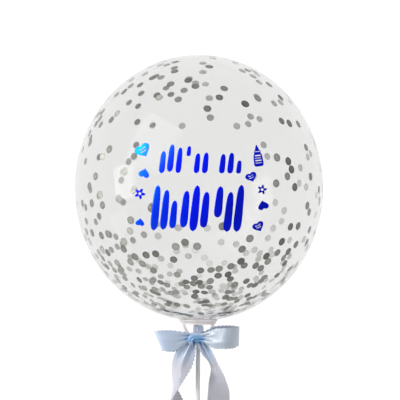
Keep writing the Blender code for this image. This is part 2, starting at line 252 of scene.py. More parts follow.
# The camera, in the upright places, looks at the front from the distance of a table photo, rolled a little.
CAMERA_PLACE = (0.00133, -1.8, -0.01452)
CAMERA_ROLL = math.radians(0.33)
VIEW_WIDTH = 0.484
SENSOR_WIDTH = 0.036


def lying():
    """The upright axes laid down, as a matrix of rows, and the balloon's centre, from the stick's end."""
    mount = next(mount for mount in frame["record"]["mounts"] if mount["name"] == "stick_end")
    up = -np.array(mount["axis"])
    right = np.array([1.0, 0.0, 0.0])
    end = np.array(mount["pos_m"])
    return np.stack([right, np.cross(up, right), up]), end + up * STICK_END_DEPTH - right * end[0]


AXES, CENTRE = lying()


def laid(points):
    """Upright places, from the balloon's centre, laid down with the balloon."""
    return np.asarray(points) @ AXES + CENTRE


def unit(vectors):
    """The vectors divided by their lengths."""
    return vectors / np.linalg.norm(vectors, axis=-1, keepdims=True)


def smooth_step(share):
    """3s^2 - 2s^3 with the share s kept from 0 to 1."""
    share = np.clip(share, 0.0, 1.0)
    return share * share * (3 - 2 * share)


def a_length(**said):
    """A length that a user may change."""
    return FloatProperty(unit="LENGTH", **said)


def a_colour(**said):
    """A colour that a user may change."""
    return FloatVectorProperty(subtype="COLOR", min=0.0, max=1.0, **said)


class BalloonSizes(bpy.types.PropertyGroup):
    width: a_length(name="Width", description="The filled balloon's width", default=0.300, min=0.1)
    height: a_length(
        name="Height", description="The filled balloon's height from crown to cup", default=0.321, min=0.1,
    )
    film: a_length(name="Film", description="The clear film's thickness", default=0.00025, min=0.0001)
    film_colour: a_colour(
        name="Film colour", description="The tint that the clear film gives to what is seen through it",
        default=(0.835, 0.835, 0.832),
    )


class ConfettiSizes(bpy.types.PropertyGroup):
    count: IntProperty(name="Count", description="How many discs are in the balloon", default=560, min=1)
    diameter: a_length(name="Diameter", description="One disc's diameter", default=0.010, min=0.002)
    seed: IntProperty(
        name="Seed", description="Another seed scatters the discs in another way", default=22, min=0,
    )
    # The discs are one silver foil: the outer side's darker colour is painted shade and the inner side's
    # paler colour is painted light.
    painted_shade_outer_colour: a_colour(
        name="Outer colour", description="The shaded side of the discs, towards the film",
        default=(0.225, 0.225, 0.205),
    )
    painted_light_inner_colour: a_colour(
        name="Inner colour", description="The paler side of the discs, towards the middle",
        default=(0.405, 0.405, 0.39),
    )


class StickerSizes(bpy.types.PropertyGroup):
    thickness: a_length(
        name="Thickness", description="The foil stickers' thickness", default=0.00012, min=0.00005,
    )
    # The blues at the left and right are painted reflections: of the window and of the room's dark side.
    left_painted_reflection_colour: a_colour(
        name="Left colour", description="The foil's blue at the left, where it mirrors the window",
        default=(0.004, 0.07, 0.90),
    )
    middle_colour: a_colour(
        name="Middle colour", description="The foil's blue in the middle", default=(0.003, 0.010, 0.80),
    )
    right_painted_reflection_colour: a_colour(
        name="Right colour",
        description="The foil's blue at the right, where it mirrors the dark side of the room",
        default=(0.002, 0.006, 0.34),
    )


class HolderSizes(bpy.types.PropertyGroup):
    stick_diameter: a_length(
        name="Stick diameter", description="The tube's outer diameter", default=0.0055, min=0.003,
    )
    stick_wall: a_length(name="Stick wall", description="The tube's wall", default=0.00085, min=0.0003)
    stick_colour: a_colour(
        name="Stick colour", description="The stick's plastic", default=(0.65, 0.655, 0.65),
    )
    cup_colour: a_colour(
        name="Cup colour", description="The cup's milky clear plastic", default=(0.84, 0.80, 0.805),
    )


class RibbonSizes(bpy.types.PropertyGroup):
    width: a_length(name="Width", description="The satin ribbon's flat width", default=0.025, min=0.010)
    thickness: a_length(
        name="Thickness", description="The satin ribbon's thickness", default=0.00035, min=0.0001,
    )
    picot: a_length(
        name="Picot", description="How far the small scallops of the woven edge stand out", default=0.0016,
        min=0.0,
    )
    # The knot's deeper blue is painted shade in its folds.
    knot_painted_shade_colour: a_colour(
        name="Knot colour", description="The satin in the folds of the knot", default=(0.060, 0.235, 0.475),
    )
    loop_colour: a_colour(
        name="Loop colour", description="The satin of the loops", default=(0.310, 0.378, 0.502),
    )
    # The right loop's greyer colour is painted shade on the same satin.
    right_loop_painted_shade_colour: a_colour(
        name="Right loop colour", description="The satin of the right loop, a little greyer",
        default=(0.285, 0.335, 0.41),
    )
    tail_colour: a_colour(
        name="Tail colour", description="The satin at the ends of the tails", default=(0.325, 0.332, 0.380),
    )


class StageSizes(bpy.types.PropertyGroup):
    floor: a_length(name="Floor", description="The floor's width", default=8.0, min=1.0)
    window_power: FloatProperty(
        name="Window", description="The soft window light at the left", default=12.0, min=0.0, unit="POWER",
    )
    key_power: FloatProperty(
        name="Key", description="The soft light from the upper left", default=24.0, min=0.0, unit="POWER",
    )
    sky: FloatProperty(
        name="Room light", description="The strength of the even white light of the room", default=0.72,
        min=0.0,
    )


# Materials


def add_node(tree, kind, values=None, **settings):
    """A new node with these settings, and these values on its inputs."""
    made = tree.nodes.new(kind)
    for key, value in settings.items():
        setattr(made, key, value)
    for key, value in (values or {}).items():
        made.inputs[key].default_value = value
    return made


def new_finish(name, **plain):
    """A Principled material with plain values, such as Roughness=0.4, and its tree and shader."""
    material = bpy.data.materials.new(name)
    material.use_nodes = True
    shader = material.node_tree.nodes["Principled BSDF"]
    for key, value in plain.items():
        shader.inputs[key.replace("_", " ")].default_value = value
    return material, material.node_tree, shader


def ramp(tree, factor, stops):
    """A colour ramp on the factor. Each stop is a place from 0 to 1 and a colour."""
    made = tree.nodes.new("ShaderNodeValToRGB")
    elements = made.color_ramp.elements
    while len(elements) < len(stops):
        elements.new(0.5)
    for element, (place, colour) in zip(elements, stops):
        element.position = place
        element.color = (*colour, 1.0)
    tree.links.new(factor, made.inputs["Fac"])
    return made.outputs["Color"]


def noise(tree, coordinates, scale, detail=3.0):
    """Soft noise at these coordinates, from 0 to 1."""
    made = add_node(tree, "ShaderNodeTexNoise", {"Scale": scale, "Detail": detail})
    tree.links.new(coordinates, made.inputs["Vector"])
    return made.outputs["Fac"]


def bump(tree, shader, height, strength, distance):
    """Puts a bump on the shader, over any bump that it has already."""
    made = add_node(tree, "ShaderNodeBump", {"Strength": strength, "Distance": distance})
    normal = shader.inputs["Normal"]
    if normal.is_linked:
        tree.links.new(normal.links[0].from_socket, made.inputs["Normal"])
    tree.links.new(height, made.inputs["Height"])
    tree.links.new(made.outputs["Normal"], normal)


def object_coordinates(tree):
    """Places in the piece's own space, in metres."""
    return tree.nodes.new("ShaderNodeTexCoord").outputs["Object"]


def scaled(colour, factor):
    """The colour made lighter or darker, with no channel over 1."""
    return tuple(min(1.0, channel * factor) for channel in colour)


def film_finish(sizes):
    """Clear film with faint creases and pulls in its surface."""
    material, tree, shader = new_finish(
        "clear_film",
        Base_Color=(*sizes.film_colour, 1.0),
        Roughness=0.04,
        IOR=1.14,
        Specular_IOR_Level=1.0,
        Transmission_Weight=1.0,
    )
    where = object_coordinates(tree)
    bump(tree, shader, noise(tree, where, scale=22.0, detail=2.0), strength=0.10, distance=0.002)
    return material


def confetti_finish(name, colour, metal, spread, painted_rim_shade):
    """Brushed silver foil that varies from disc to disc by a random tone with painted shade in it, and has a
    painted
    reflection: lighter in its middle and darker towards its rim, as a domed disc would mirror the room.

    The spread says how much lighter than its colour the lightest disc is.
    """
    material, tree, shader = new_finish(name, Metallic=metal, Roughness=0.5, Specular_IOR_Level=0.2)
    tone_and_painted_shade = add_node(tree, "ShaderNodeAttribute", attribute_name="tone_and_painted_shade")
    tones = (
        (0.0, scaled(colour, 0.66)),
        (0.12, scaled(colour, 0.88)),
        (0.4, colour),
        (0.62, scaled(colour, 1 + spread / 2)),
        (1.0, scaled(colour, 1 + spread)),
    )
    shade = ramp(tree, tone_and_painted_shade.outputs["Fac"], tones)
    rim = add_node(tree, "ShaderNodeAttribute", attribute_name="rim")
    white = (1.0, 1.0, 1.0)
    steps = ((0.0, white), (0.45, scaled(white, 0.7 + 0.3 * painted_rim_shade)), (1.0, scaled(white, painted_rim_shade)))
    painted_dome_reflection = add_node(tree, "ShaderNodeVectorMath", operation="MULTIPLY")
    tree.links.new(shade, painted_dome_reflection.inputs[0])
    tree.links.new(ramp(tree, rim.outputs["Fac"], steps), painted_dome_reflection.inputs[1])
    tree.links.new(painted_dome_reflection.outputs["Vector"], shader.inputs["Base Color"])
    bump(tree, shader, noise(tree, object_coordinates(tree), scale=900.0), strength=0.2, distance=0.0001)
    return material


def foil_finish(name, sizes, darker=0.0):
    """Mirror foil with a painted reflection: bright blue at the left, where it mirrors the window, to navy at
    the right, where it mirrors the room's dark side, with painted cyan highlight patches, and fine crinkles.

    darker shifts all of it towards the navy.
    """
    material, tree, shader = new_finish(name, Metallic=1.0, Roughness=0.28)
    where = object_coordinates(tree)
    split = tree.nodes.new("ShaderNodeSeparateXYZ")
    tree.links.new(where, split.inputs[0])
    painted_highlight_patches = noise(tree, where, scale=26.0, detail=1.0)
    across = add_node(tree, "ShaderNodeMapRange", {"From Min": -0.085, "From Max": 0.085})
    tree.links.new(split.outputs["X"], across.inputs["Value"])
    wander = add_node(tree, "ShaderNodeMath", {1: 0.5, 2: darker - 0.25}, operation="MULTIPLY_ADD")
    tree.links.new(painted_highlight_patches, wander.inputs[0])
    place = add_node(tree, "ShaderNodeMath", operation="ADD")
    tree.links.new(across.outputs["Result"], place.inputs[0])
    tree.links.new(wander.outputs[0], place.inputs[1])
    # Painted reflection across the stickers from left to right, with a painted cyan highlight at the far
    # left; the noise moves it about in painted highlight patches.
    stops = (
        (0.00, (0.0, 0.20, 0.98)),
        (0.10, tuple(sizes.left_painted_reflection_colour)),
        (0.45, tuple(sizes.middle_colour)),
        (0.70, scaled(sizes.right_painted_reflection_colour, 1.6)),
        (1.00, tuple(sizes.right_painted_reflection_colour)),
    )
    tree.links.new(ramp(tree, place.outputs[0], stops), shader.inputs["Base Color"])
    bump(tree, shader, noise(tree, where, scale=300.0), strength=0.12, distance=0.0002)
    return material


def cup_finish(sizes):
    """Milky clear moulded plastic, with the faint grain of the mould."""
    material, tree, shader = new_finish(
        "clear_moulded_plastic",
        Base_Color=(*sizes.cup_colour, 1.0),
        Roughness=0.35,
        IOR=1.46,
        Transmission_Weight=0.40,
    )
    bump(tree, shader, noise(tree, object_coordinates(tree), scale=500.0), strength=0.15, distance=0.0002)
    return material


def stick_finish(sizes):
    """White plastic tube, a little cloudy along its length, which light sinks a few millimetres into."""
    material, tree, shader = new_finish(
        "white_stick_plastic",
        Roughness=0.6,
        Specular_IOR_Level=0.2,
        Subsurface_Weight=1.0,
        Subsurface_Radius=(1.0, 1.0, 1.0),
        Subsurface_Scale=0.004,
    )
    where = object_coordinates(tree)
    stretch = add_node(tree, "ShaderNodeMapping", {"Scale": (1.0, 0.08, 0.3)})
    tree.links.new(where, stretch.inputs["Vector"])
    colour = tuple(sizes.stick_colour)
    cloud = ramp(
        tree,
        noise(tree, stretch.outputs["Vector"], scale=260.0),
        ((0.3, scaled(colour, 0.93)), (0.7, scaled(colour, 1.05))),
    )
    tree.links.new(cloud, shader.inputs["Base Color"])
    bump(tree, shader, noise(tree, where, scale=700.0), strength=0.1, distance=0.0001)
    return material


def satin_finish(name, sizes, shine, loop_colour=None):
    """Satin of one blue with painted shade, deepest in the knot's folds, fading out along the ribbon to
    greyer tails, with its woven threads as bump.
    """
    shade, roughness = shine
    loop_colour = loop_colour or tuple(sizes.loop_colour)
    material, tree, shader = new_finish(
        name,
        Roughness=roughness,
        Sheen_Weight=0.25,
        Sheen_Roughness=0.4,
        IOR=1.62,
        Specular_IOR_Level=1.0,
    )
    knot_shade_centre = laid(KNOT_CENTRE + [-0.0015, 0.0, -0.0025])
    stretch = np.array([0.9, 2.2, 1.0])
    to_middle = {"Location": tuple(-knot_shade_centre * stretch), "Scale": tuple(stretch)}
    centred = add_node(tree, "ShaderNodeMapping", to_middle)
    tree.links.new(object_coordinates(tree), centred.inputs["Vector"])
    away = add_node(tree, "ShaderNodeVectorMath", operation="LENGTH")
    tree.links.new(centred.outputs["Vector"], away.inputs[0])
    share = add_node(tree, "ShaderNodeMapRange", {"From Min": 0.0, "From Max": 0.14})
    tree.links.new(away.outputs["Value"], share.inputs["Value"])
    # Painted shade: the knot's folds take the deep blue and the loops just beside the knot are a little
    # darker; towards the tails the colour goes greyer.
    stops = (
        (0.068, scaled(sizes.knot_painted_shade_colour, shade)),
        (0.105, scaled(loop_colour, shade * 0.95)),
        (0.30, scaled(loop_colour, shade)),
        (0.50, scaled(sizes.tail_colour, shade)),
    )
    tree.links.new(ramp(tree, share.outputs["Result"], stops), shader.inputs["Base Color"])
    threads_at = add_node(tree, "ShaderNodeUVMap", uv_map="ribbon")
    threads = add_node(tree, "ShaderNodeTexWave", {"Scale": 28.0, "Distortion": 0.4}, bands_direction="X")
    tree.links.new(threads_at.outputs["UV"], threads.inputs["Vector"])
    bump(tree, shader, threads.outputs["Fac"], strength=0.2, distance=0.00003)
    crinkle = add_node(tree, "ShaderNodeMapping", {"Scale": (1.6, 5.0, 1.0)})
    tree.links.new(threads_at.outputs["UV"], crinkle.inputs["Vector"])
    bump(tree, shader, noise(tree, crinkle.outputs["Vector"], scale=1.0), strength=0.35, distance=0.0012)
    return material


def satin_sides(sizes):
    """The satin's shiny face and its duller back, made once."""
    made = [bpy.data.materials.get(name) for name in ("woven_satin_face", "woven_satin_back")]
    if all(made):
        return made
    return [
        satin_finish("woven_satin_face", sizes, SATIN_FACE),
        satin_finish("woven_satin_back", sizes, SATIN_BACK),
    ]


# Meshes


def grid_faces(rows, columns, round_columns):
    """The squares between neighbours in a grid of rows and columns, as indices. Round columns join up."""
    index = np.arange(rows * columns).reshape(rows, columns)
    if round_columns:
        index = np.concatenate([index, index[:, :1]], axis=1)
    corners = [index[:-1, :-1], index[:-1, 1:], index[1:, 1:], index[1:, :-1]]
    return np.stack(corners, axis=-1)


def grid_normals(points, faces):
    """The squares' directions: the cross product of their diagonals."""
    first, second, third, fourth = np.moveaxis(points.reshape(-1, 3)[faces], -2, 0)
    return np.cross(third - first, fourth - second)


def linked(name, data):
    """A new object of this data, in the scene."""
    made = bpy.data.objects.new(name, data)
    bpy.context.scene.collection.objects.link(made)
    return made


def grid_mesh(name, points, faces):
    """A mesh of a grid's places and these faces."""
    mesh = bpy.data.meshes.new(name)
    mesh.from_pydata(points.reshape(-1, 3).tolist(), [], faces.tolist())
    return mesh


def join_doubles(mesh, face_out=False):
    """Joins the vertices that share a place, such as a pole's, and can turn a closed mesh's faces outward."""
    whole = bmesh.new()
    whole.from_mesh(mesh)
    bmesh.ops.remove_doubles(whole, verts=whole.verts, dist=WELD_DISTANCE)
    if face_out:
        bmesh.ops.recalc_face_normals(whole, faces=whole.faces)
    whole.to_mesh(mesh)
    whole.free()


def grid_piece(
    name, points, materials, round_columns=False, outward=None, keep=None, uv=None, weld=False
):
    """A piece from a grid of places, points[row, column].

    outward is a direction that its faces should look to. keep says which squares are kept. uv is the grid of
    places on the flat ribbon. weld closes the poles.
    """
    faces = grid_faces(*points.shape[:2], round_columns)
    if outward is not None and np.sum(grid_normals(points, faces) * outward) < 0:
        faces = faces[..., ::-1]
    if keep is not None:
        used, faces = np.unique(faces[keep], return_inverse=True)
        points = points.reshape(-1, 3)[used]
    mesh = grid_mesh(name, points, faces.reshape(-1, 4))
    if uv is not None:
        corner = np.empty(len(mesh.loops), dtype=np.int32)
        mesh.loops.foreach_get("vertex_index", corner)
        mesh.uv_layers.new(name="ribbon").data.foreach_set("uv", uv.reshape(-1, 2)[corner].ravel())
    if weld:
        join_doubles(mesh)
    mesh.shade_smooth()
    return mesh_piece(name, mesh, materials)


def mesh_piece(name, mesh, materials):
    """The mesh as a piece of the object, riding on its one body."""
    piece = linked(name, mesh)
    for material in materials:
        mesh.materials.append(material)
    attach(piece, "root")
    return piece


def thicken(piece, thickness, back_material=False, offset=0.0):
    """Gives a sheet its thickness. With a back material, the side away from its faces takes the second."""
    solid = piece.modifiers.new("thickness", "SOLIDIFY")
    solid.thickness = thickness
    solid.offset = offset
    solid.material_offset = 1 if back_material else 0
    return piece


def turned(profile, columns):
    """The grid of a profile of (radius, z) turned round the axis: x = r cos a, y = r sin a."""
    angles = np.arange(columns) * math.tau / columns
    radius, height = profile[:, :1], profile[:, 1:]
    around = [radius * np.cos(angles), radius * np.sin(angles), height + 0 * angles]
    return np.stack(around, axis=-1)


def quarter(centre, start, end, count=5):
    """Places on a quarter of an ellipse round the centre c, from s to e: c + (s-c) cos a + (e-c) sin a."""
    centre, start, end = map(np.array, (centre, start, end))
    angles = np.linspace(0, math.pi / 2, count)[:, None]
    return centre + (start - centre) * np.cos(angles) + (end - centre) * np.sin(angles)


def through(rows, count):
    """count rows spaced evenly along a smooth curve through the given rows.

    The curve is the cubic with the rows' own slopes, taken over the straight distance between their places.
    """
    rows = np.array(rows, float)
    chord = np.linalg.norm(np.diff(rows[:, :3], axis=0), axis=1)
    at = np.concatenate([[0.0], np.cumsum(chord)])
    slopes = np.gradient(rows, at, axis=0)
    asked = np.linspace(0.0, at[-1], count)
    k = np.clip(np.searchsorted(at, asked, side="right") - 1, 0, len(at) - 2)
    step = (at[k + 1] - at[k])[:, None]
    t = (asked - at[k])[:, None] / step
    start, end = rows[k], rows[k + 1]
    return (
        start * (1 + 2 * t) * (1 - t) ** 2
        + slopes[k] * step * t * (1 - t) ** 2
        + end * t * t * (3 - 2 * t)
        + slopes[k + 1] * step * t * t * (t - 1)
    )


def run_of(line):
    """The distance along a line of places."""
    return np.concatenate([[0.0], np.cumsum(np.linalg.norm(np.diff(line, axis=0), axis=1))])


# The balloon


def depth_at(radius, sizes):
    """The depth of the ellipse's lower half at a distance from the axis: b sqrt(1 - (r/a)^2)."""
    return sizes.height / 2 * np.sqrt(1 - (radius / (sizes.width / 2)) ** 2)


def film_grid(sizes, columns=168, rows=112):
    """The film's outer wall from the crown to the closed neck, then its inner wall back up to the crown.

    Both walls are ellipses, r = a sin t and z = b cos t, turned round the axis. Near the neck the radius
    draws in by folds, 1 - f (1 + cos n angle) / 2, whose depth f grows with t^36. The part below the floor
    is pressed flat on it.
    """
    a, b = sizes.width / 2, sizes.height / 2
    shoulder = NECK_RADIUS + NECK_SHOULDER
    last = math.pi - math.asin(shoulder / a)
    angles = np.linspace(0, last, rows)
    outer = np.stack([a * np.sin(angles), b * np.cos(angles)], axis=-1)
    depth = depth_at(shoulder, sizes)
    low = -depth - NECK_SHOULDER
    bend = quarter((shoulder, low), (shoulder, -depth), (NECK_RADIUS, low), count=8)
    end = -NECK_END_DEPTH
    neck = np.array([(NECK_RADIUS, end + 0.0008), (NECK_RADIUS * 0.8, end), (0.0, end)])
    turns = np.linspace(math.pi, 0, rows)
    inner = np.stack([(a - sizes.film) * np.sin(turns), (b - sizes.film) * np.cos(turns)], axis=-1)
    profile = np.concatenate([outer, bend[1:], neck, inner])
    share = np.concatenate([angles / math.pi, np.ones(len(bend) - 1 + len(neck)), turns / math.pi])
    grid = turned(profile, columns)
    around = np.arange(columns) * math.tau / columns
    folds = 0.5 + 0.5 * np.cos(NECK_FOLDS * around + 1.2 * np.sin(3 * around))
    grid[..., :2] *= (1 - NECK_FOLD_DEPTH * share[:, None] ** 36 * folds)[..., None]
    places = laid(grid)
    lowest = np.where(np.arange(len(profile)) < len(profile) - rows, 0.0, sizes.film)
    places[..., 2] = np.maximum(places[..., 2], lowest[:, None])
    return places


def make_film(sizes):
    """The film, too thin and clear to cast a shadow."""
    places = film_grid(sizes)
    crown_ring = places[2:4].mean(axis=(0, 1))
    film = grid_piece("balloon_film", places, [film_finish(sizes)], round_columns=True, weld=True)
    mend_direction(film, laid([0, 0, sizes.height]) - crown_ring)
    film.visible_shadow = False
    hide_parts("balloon")


def mend_direction(piece, crown_way):
    """Turns all the faces round if those at the first vertices don't look the crown's way."""
    mesh = piece.data
    normals = np.empty(len(mesh.polygons) * 3)
    mesh.polygons.foreach_get("normal", normals)
    if normals.reshape(-1, 3)[:20].sum(axis=0) @ crown_way < 0:
        mesh.flip_normals()


# The confetti


def crowding(directions):
    """How thick the discs lie: even above, few at the front and back middle, more and more to the neck.

    The emptier patches thin out to 1 - 0.97 e, with e = exp(-(x / 0.51)^6 - ((z - 0.08) / 0.47)^6).
    """
    x, z = directions[:, 0], directions[:, 2]
    heights = [-1.0, -0.93, -0.72, -0.55, -0.38, -0.25, 0.6, 1.0]
    crowd = np.interp(z, heights, [MOST_CROWDED, 9.0, 5.6, 4.3, 2.4, 1.15, 1.0, 1.3])
    empty = np.exp(-((x / 0.51) ** 6) - ((z - 0.08) / 0.47) ** 6)
    return crowd * (1 - 0.97 * empty)


def scattered(count, seed):
    """Directions picked by chance by the crowding, each with its room round it, which shrinks to the neck."""
    chance = np.random.default_rng(seed)
    tries = unit(chance.normal(size=(DISC_TRIES, 3)))
    tries = tries[tries[:, 2] > LOWEST_DISC]
    kept = tries[chance.random(len(tries)) * MOST_CROWDED < crowding(tries)]
    room = np.interp(kept[:, 2], [-1.0, -0.80, -0.45, 1.0], [0.018, 0.032, 0.062, 0.075])
    chosen = np.empty((0, 3))
    for direction, apart in zip(kept, room):
        if len(chosen) == count:
            break
        if not np.any(np.linalg.norm(chosen - direction, axis=1) < apart):
            chosen = np.concatenate([chosen, direction[None]])
    return chosen


def make_confetti(sizes, balloon):
    """Thin round discs against the film's inner wall.

    A disc's middle is on the wall's ellipse, drawn in by its tilt and by the discs that it lies on. Its rim
    is centre + r (cos a u + sin a v), with u and v across its own direction. A disc over the flat spot is
    lifted onto it whole. Each disc has one value from 0 to 1 that is random with painted shade in it: more of
    them are dark above, and the discs of the back wall's right, where the lights reach their inner sides, are
    painted darkest against those lights.
    """
    chance = np.random.default_rng(sizes.seed + 1)
    directions = scattered(sizes.count, sizes.seed)
    count = len(directions)
    walls = np.array([balloon.width, balloon.width, balloon.height]) / 2 - balloon.film
    to_wall = 1 / np.linalg.norm(directions / walls, axis=1)
    centres = directions * to_wall[:, None]
    outward = unit(centres / walls**2)
    crowded = smooth_step((CROWDED_FROM - directions[:, 2]) / CROWDED_SPAN)
    tilt = np.radians(DISC_TILT + CROWDED_TILT * crowded) * chance.random(count)
    helper = unit(chance.normal(size=(count, 3)))
    across = unit(np.cross(outward, helper))
    facing = unit(outward + across * np.tan(tilt)[:, None])
    smaller = np.random.default_rng(sizes.seed + 2).random(count)
    radius = sizes.diameter / 2 * (1 - DISC_SMALLER * smaller - CROWDED_SMALLER * crowded)
    lift = DISC_GAP + radius * np.sin(tilt) + DISC_PILE * crowded * chance.random(count) ** 2
    centres -= outward * lift[:, None]
    side = unit(np.cross(facing, helper))
    other = np.cross(facing, side)
    corners = DISC_CORNERS
    angles = np.arange(corners) * math.tau / corners
    cosine, sine = np.cos(angles)[None, :, None], np.sin(angles)[None, :, None]
    rim = radius[:, None, None] * (cosine * side[:, None] + sine * other[:, None])
    flat = centres[:, None] + np.concatenate([rim, 0 * rim[:, :1]], axis=1)
    half = DISC_THICKNESS / 2 * facing[:, None]
    points = laid(np.concatenate([flat + half, flat - half], axis=1))
    points[..., 2] += np.maximum(balloon.film * 2 - points[..., 2].min(axis=1), 0.0)[:, None]
    points = points.reshape(-1, 3)
    below = corners + 1
    start = np.arange(count)[:, None, None] * 2 * below
    ring = np.arange(corners)
    following = (ring + 1) % corners
    middle = 0 * ring + corners
    tops = start + np.stack([middle, ring, following], axis=-1)
    bottoms = start + below + np.stack([middle, following, ring], axis=-1)
    sides = start + np.stack([ring, ring + below, following + below, following], axis=-1)
    mesh = bpy.data.meshes.new("confetti")
    faces = [part.reshape(count * corners, -1).tolist() for part in (tops, bottoms, sides)]
    mesh.from_pydata(points.tolist(), [], sum(faces, []))
    slots = np.repeat(np.array([0, 1, 0], dtype=np.int32), count * corners)
    mesh.polygons.foreach_set("material_index", slots)
    # Painted shade: more discs are dark above, and the discs at the back wall's right are made darker where
    # the lights reach their inner sides.
    darkest = np.interp(directions[:, 2], [-0.2, 0.4], [0.14, 0.0])
    tones = darkest + (1 - darkest) * chance.random(count) ** (1 + np.clip(1.6 * directions[:, 2], 0, 1.3))
    lit_painted_darker = smooth_step((directions[:, 0] + 0.1) / 0.5) * smooth_step(directions[:, 1] / 0.3)
    tones *= 1 - 0.95 * lit_painted_darker
    tone_and_painted_shade = mesh.attributes.new("tone_and_painted_shade", "FLOAT", "POINT")
    tone_and_painted_shade.data.foreach_set("value", np.repeat(tones, 2 * below))
    # Painted reflection: this is 1 on each disc's rim and 0 at its middle, so the rim is darker than the
    # middle as on a domed disc.
    from_middle = mesh.attributes.new("rim", "FLOAT", "POINT")
    from_middle.data.foreach_set("value", np.tile(np.append(np.ones(corners), 0.0), 2 * count))
    outer, inner = tuple(sizes.painted_shade_outer_colour), tuple(sizes.painted_light_inner_colour)
    # Painted-shade and painted-light copies of one silver foil, for the discs' outer and inner sides.
    finishes = [
        confetti_finish("silver_confetti", outer, metal=0.85, spread=0.9, painted_rim_shade=0.72),
        confetti_finish("silver_confetti_painted_light", inner, metal=0.0, spread=0.35, painted_rim_shade=0.94),
    ]
    confetti = mesh_piece("confetti", mesh, finishes)


# The stickers


def on_front(across, height, balloon, lift=0.00004):
    """Places on the balloon's front for places across and up: y = -a sqrt(1 - (x/a)^2 - (z/b)^2), lifted."""
    a, b = balloon.width / 2, balloon.height / 2
    back = -a * np.sqrt(1 - (across / a) ** 2 - (height / b) ** 2)
    places = np.stack([across, back, height], axis=-1)
    return places + unit(places / np.array([a, a, b]) ** 2) * lift


def disc_grid(steps):
    """A square grid pressed into a disc: x = u sqrt(1 - v^2 / 2) and y = v sqrt(1 - u^2 / 2)."""
    line = np.linspace(-1, 1, steps)
    u, v = np.meshgrid(line, line)
    return u * np.sqrt(1 - v**2 / 2), v * np.sqrt(1 - u**2 / 2)


def heart_flat(steps=HEART_STEPS):
    """A heart from a disc, with t the angle from its top and r the distance from its middle.

    x = r sin^3 t and y = r (13 cos t - 4 cos 2t - 1.6 cos 3t - 0.5 cos 4t) / 16.
    """
    x, y = disc_grid(steps)
    r, t = np.hypot(x, y), np.arctan2(x, y)
    up = (13 * np.cos(t) - 4 * np.cos(2 * t) - 1.6 * np.cos(3 * t) - 0.5 * np.cos(4 * t)) / 16
    return r * np.sin(t) ** 3, r * up


def slits(steps, rows, ends):
    """Which squares of a grid are kept: all but short rows of them, each broken by a bridge in its middle."""
    keep = np.ones((steps - 1, steps - 1), bool)
    for row in rows:
        first, last = (round(end * (steps - 1)) for end in ends)
        keep[row, first:last] = False
        keep[row, (first + last) // 2] = True
    return keep


def sticker(name, flats, balloon, sizes, finish, keep=None, round_columns=False):
    """A foil sticker of one or more flat shapes, each (across, height), on the balloon's front."""
    settings = {"round_columns": round_columns, "outward": -AXES[1], "keep": keep, "weld": True}
    pieces = [grid_piece(name, laid(on_front(*flat, balloon)), [finish], **settings) for flat in flats]
    piece = joined(pieces)
    thicken(piece, sizes.thickness, offset=1.0)
    return piece


def joined(pieces):
    """The pieces' meshes as one, on the first of them."""
    whole = bmesh.new()
    for piece in pieces:
        whole.from_mesh(piece.data)
    whole.to_mesh(pieces[0].data)
    whole.free()
    pieces[0].data.shade_smooth()
    for piece in pieces[1:]:
        bpy.data.meshes.remove(piece.data)
    return pieces[0]


def placed(flat, x, z, size, degrees):
    """A flat shape of about 2 units across, at its size, turned by an angle, at its place."""
    across, up = flat[0] * size / 2, flat[1] * size / 2
    turn = math.radians(degrees)
    turned_across = across * math.cos(turn) - up * math.sin(turn)
    turned_up = across * math.sin(turn) + up * math.cos(turn)
    return turned_across + x, turned_up + z


def flower_flat(steps=71):
    """Five petals with a round hole: the radius goes from 0.26 to 0.74 + 0.26 cos 5 a."""
    angles = np.arange(steps - 1) * math.tau / (steps - 1)
    share = np.linspace(0, 1, 6)[:, None]
    rim = 0.74 + 0.26 * np.cos(5 * angles + math.pi / 2)
    radius = 0.26 + (rim - 0.26) * share
    return radius * np.cos(angles), radius * np.sin(angles)


def bottle_flat():
    """A bottle: its half width goes in steps from the round foot to the collar, then to the pointed teat."""
    rows, columns = BOTTLE_GRID
    up = np.linspace(-1, 1, rows)
    heights = (-1, -0.93, -0.78, -0.2, 0.12, 0.2, 0.26, 0.42, 0.5, 0.8, 0.96, 1.0)
    half = np.interp(up, heights, (0.26, 0.41, 0.45, 0.43, 0.38, 0.28, 0.33, 0.31, 0.22, 0.11, 0.05, 0.02))
    share = np.linspace(-1, 1, columns)
    return half[:, None] * share, up[:, None] + 0 * share


def stroke_flat(place, low, high, width, lean=0.10, rows=25, columns=7):
    """A blunt slanting stroke: its half width goes as (1 - |2t - 1|^5)^0.5 (1.1 - 0.3 t) up its height t."""
    t = np.linspace(0.0, 1.0, rows)[:, None]
    share = np.linspace(-1, 1, columns)
    half = width / 2 * ((1 - np.abs(2 * t - 1) ** 5) ** 0.5 * (1.1 - 0.3 * t) + 1e-4)
    height = low + (high - low) * t
    across = place + half * share + lean * (height - (low + high) / 2)
    return across, height + 0 * share


